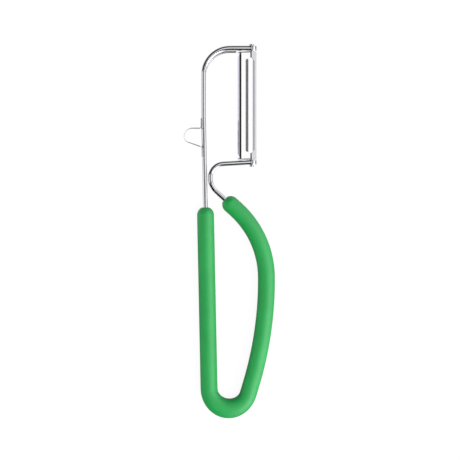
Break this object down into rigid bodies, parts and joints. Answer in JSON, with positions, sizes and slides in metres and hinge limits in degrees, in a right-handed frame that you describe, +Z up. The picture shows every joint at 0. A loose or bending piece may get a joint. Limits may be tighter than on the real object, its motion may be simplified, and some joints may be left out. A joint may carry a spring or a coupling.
{
  "type": "vegetable peeler",
  "caption": "Wire-frame vegetable peeler with a swivelling sheet-steel blade, a looped eye remover on its spine and a green dipped loop grip.",
  "frame": {"origin": "middle of the tool's outline seen from above, on the table that it lies on", "axes": "+Y from the grip's loop towards the head, +X across the tool from the spine towards the blade, +Z up from the table"},
  "size_m": [0.0456, 0.1872, 0.0085],
  "materials": {
    "wire": "bright polished stainless steel wire",
    "grip": "satin dipped soft PVC",
    "strip": "polished stainless steel strip",
    "blade": "polished stainless steel with a ground bevel"
  },
  "bodies": {
    "frame": {"frame_wire": "wire", "grip": "grip", "eye_remover": "strip"},
    "blade": {"blade": "blade"}
  },
  "joints": [
    {"name": "blade_swivel", "type": "hinge", "parent": "frame", "child": "blade", "pos_m": [0.01122, 0.0629, 0.00283], "axis": [0, 1, 0], "continuous": true}
  ]
}
